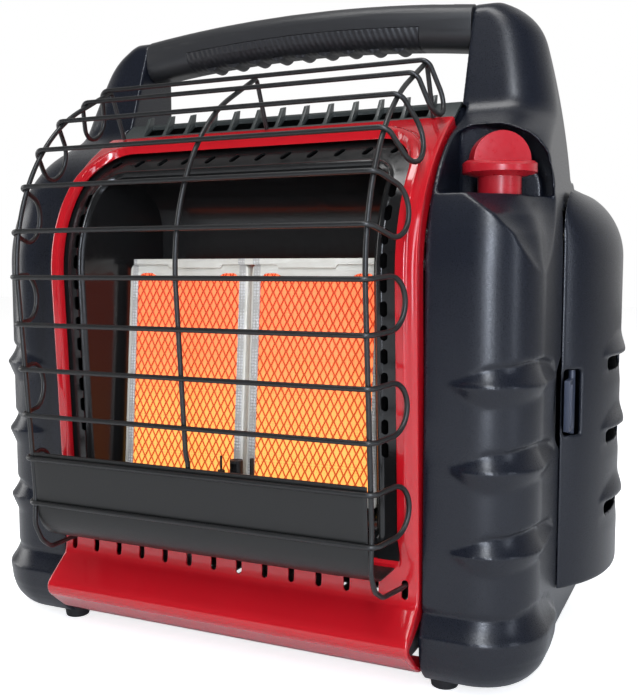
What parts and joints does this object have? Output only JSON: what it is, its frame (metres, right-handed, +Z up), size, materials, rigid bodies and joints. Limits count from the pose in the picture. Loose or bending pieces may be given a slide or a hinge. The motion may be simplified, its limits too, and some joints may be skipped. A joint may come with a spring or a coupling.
{
  "type": "portable propane heater",
  "caption": "Portable radiant heater with a wire guard, twin ceramic burners, a carrying handle and a hinged gas cylinder bay on each side",
  "frame": {"origin": "centre of the bounding box on the floor under the feet", "axes": "+X to the heater's right as seen from the front, +Y to its back, +Z up"},
  "size_m": [0.47, 0.2939, 0.4556],
  "materials": {
    "housing_plastic": "satin moulded plastic, dark slate blue",
    "handle_plastic": "satin moulded plastic, near black",
    "grip_rubber": "soft ribbed rubber",
    "foot_rubber": "matte rubber",
    "red_enamel": "gloss red enamel on pressed steel",
    "black_enamel": "gloss black enamel on pressed steel",
    "guard_wire": "black enamelled steel wire",
    "louvre_grey": "satin dark grey paint",
    "case_black": "satin black paint on sheet steel",
    "galvanised": "plain galvanised sheet",
    "frame_steel": "pale aluminised steel",
    "ceramic": "glowing ceramic plaque",
    "screen_wire": "expanded metal glowing red",
    "brass": "machined brass",
    "pipe": "drawn aluminium tube",
    "steel": "bright steel",
    "knob_red": "gloss red plastic",
    "inner_plastic": "black plastic",
    "porcelain": "white glazed ceramic"
  },
  "bodies": {
    "heater": {"base_pan": "galvanised", "rubber_feet": "foot_rubber", "left_housing": "housing_plastic", "right_housing": "housing_plastic", "left_hinge_pins": "steel", "right_hinge_pins": "steel", "handle_bar": "handle_plastic", "handle_grip": "grip_rubber", "front_panel": "red_enamel", "inner_trim": "black_enamel", "reflector_box": "black_enamel", "guard_rings": "guard_wire", "guard_uprights": "guard_wire", "guard_shield": "black_enamel", "top_cover": "louvre_grey", "back_panel": "case_black", "back_screws": "steel", "left_burner_frame": "frame_steel", "right_burner_frame": "frame_steel", "left_ceramic_tile": "ceramic", "right_ceramic_tile": "ceramic", "left_screen": "screen_wire", "right_screen": "screen_wire", "burner_clamp": "frame_steel", "left_plenum": "galvanised", "right_plenum": "galvanised", "mixing_tubes": "galvanised", "orifices": "brass", "burner_pipe": "pipe", "gas_valve": "pipe", "stem_spring": "steel", "manifold_pipe": "pipe", "left_elbow": "steel", "right_elbow": "steel", "pilot_burner": "steel", "electrode": "porcelain", "thermocouple": "brass", "piezo_igniter": "inner_plastic", "tip_switch": "inner_plastic", "fan_housing": "inner_plastic", "fan_motor": "steel", "fan_grille": "case_black", "battery_tray": "inner_plastic", "switch_body": "inner_plastic"},
    "right_door": {"right_cylinder_door": "housing_plastic"},
    "left_door": {"left_cylinder_door": "housing_plastic"},
    "right_latch": {"right_door_latch": "housing_plastic"},
    "left_latch": {"left_door_latch": "housing_plastic"},
    "stem": {"valve_stem": "brass"},
    "knob": {"control_knob": "knob_red"},
    "right_regulator": {"right_regulator": "brass"},
    "left_regulator": {"left_regulator": "brass"},
    "fan": {"fan_rotor": "inner_plastic"},
    "battery_cover": {"battery_cover": "inner_plastic"},
    "rocker": {"fan_switch": "inner_plastic"}
  },
  "joints": [
    {"name": "right_door_hinge", "type": "hinge", "parent": "heater", "child": "right_door", "pos_m": [0.2035, 0.143, 0.175], "axis": [0, 0, 1], "range_deg": [0, 110]},
    {"name": "left_door_hinge", "type": "hinge", "parent": "heater", "child": "left_door", "pos_m": [-0.2035, 0.143, 0.175], "axis": [0, 0, -1], "range_deg": [0, 110]},
    {"name": "right_latch_turn", "type": "hinge", "parent": "right_door", "child": "right_latch", "pos_m": [0.2076, 0.02, 0.175], "axis": [0, 0, 1], "range_deg": [0, 20], "stiffness_Nm_per_rad": 0.02},
    {"name": "left_latch_turn", "type": "hinge", "parent": "left_door", "child": "left_latch", "pos_m": [-0.2076, 0.02, 0.175], "axis": [0, 0, -1], "range_deg": [0, 20], "stiffness_Nm_per_rad": 0.02},
    {"name": "knob_push", "type": "slide", "parent": "heater", "child": "stem", "axis": [0, 0, -1], "range_m": [0, 0.004], "stiffness_N_per_m": 600, "springref_m": -0.002, "deforming": ["stem_spring"]},
    {"name": "knob_turn", "type": "hinge", "parent": "stem", "child": "knob", "pos_m": [0.17, -0.0374, 0.33], "axis": [0, 0, 1], "range_deg": [0, 240]},
    {"name": "right_regulator_swing", "type": "hinge", "parent": "heater", "child": "right_regulator", "pos_m": [0.1499, 0.025, 0.275], "axis": [0, 0, -1], "range_deg": [0, 30]},
    {"name": "left_regulator_swing", "type": "hinge", "parent": "heater", "child": "left_regulator", "pos_m": [-0.1499, 0.025, 0.275], "axis": [0, 0, 1], "range_deg": [0, 30]},
    {"name": "fan_spin", "type": "hinge", "parent": "heater", "child": "fan", "pos_m": [-0.052, 0.1186, 0.25], "axis": [0, 1, 0], "continuous": true},
    {"name": "battery_cover_hinge", "type": "hinge", "parent": "heater", "child": "battery_cover", "pos_m": [0.062, 0.1395, 0.055], "axis": [-1, 0, 0], "range_deg": [0, 110]},
    {"name": "fan_switch_rock", "type": "hinge", "parent": "heater", "child": "rocker", "pos_m": [-0.07, 0.1321, 0.096], "axis": [-1, 0, 0], "range_deg": [0, 12]}
  ],
  "couplings": [
    {"joint": "right_regulator_swing", "follows": "right_door_hinge", "ratio": 0.2727},
    {"joint": "left_regulator_swing", "follows": "left_door_hinge", "ratio": 0.2727}
  ]
}
